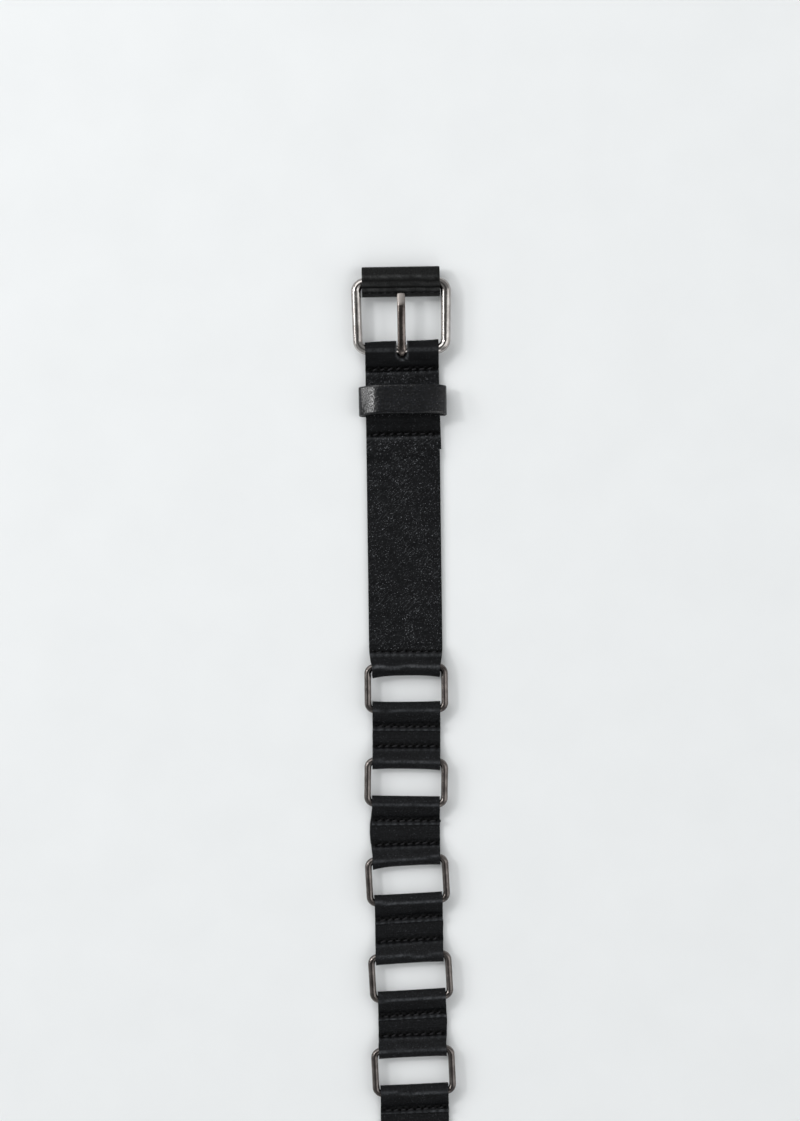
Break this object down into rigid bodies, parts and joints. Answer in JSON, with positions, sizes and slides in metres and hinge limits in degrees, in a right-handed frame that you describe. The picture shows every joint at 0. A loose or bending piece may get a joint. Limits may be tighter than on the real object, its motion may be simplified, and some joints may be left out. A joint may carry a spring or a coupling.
{
  "type": "ring belt",
  "caption": "Leather ring belt lying open and face up: a buckle end, a run of wire rings joined by short leather links, and a punched end.",
  "frame": {"origin": "on the surface that the belt lies on, under the middle of its box", "axes": "+Y along the belt towards the buckle, +Z out of the belt's face, +X to the right of the face"},
  "size_m": [0.0408, 0.9484, 0.0091],
  "materials": {
    "leather": "satin",
    "keeper_leather": "semi-gloss",
    "metal": "polished"
  },
  "bodies": {
    "belt": {"front_strap": "leather", "keeper": "keeper_leather", "ring_01": "metal", "ring_02": "metal", "ring_03": "metal", "ring_04": "metal", "ring_05": "metal", "ring_06": "metal", "ring_07": "metal", "ring_08": "metal", "ring_09": "metal", "ring_10": "metal", "ring_11": "metal", "ring_12": "metal", "ring_13": "metal", "ring_14": "metal", "ring_15": "metal", "ring_16": "metal", "link_01": "leather", "link_02": "leather", "link_03": "leather", "link_04": "leather", "link_05": "leather", "link_06": "leather", "link_07": "leather", "link_08": "leather", "link_09": "leather", "link_10": "leather", "link_11": "leather", "link_12": "leather", "link_13": "leather", "link_14": "leather", "link_15": "leather", "punched_end": "leather"},
    "buckle": {"buckle_frame": "metal", "bar_sleeve": "leather"},
    "tongue": {"buckle_tongue": "metal"}
  },
  "joints": [
    {"name": "buckle_swing", "type": "hinge", "parent": "belt", "child": "buckle", "pos_m": [0, 0.44035, 0.00385], "axis": [1, 0, 0], "range_deg": [-90, 15]},
    {"name": "tongue_swing", "type": "hinge", "parent": "buckle", "child": "tongue", "pos_m": [0, 0.44035, 0.00385], "axis": [1, 0, 0], "range_deg": [0, 70]}
  ]
}
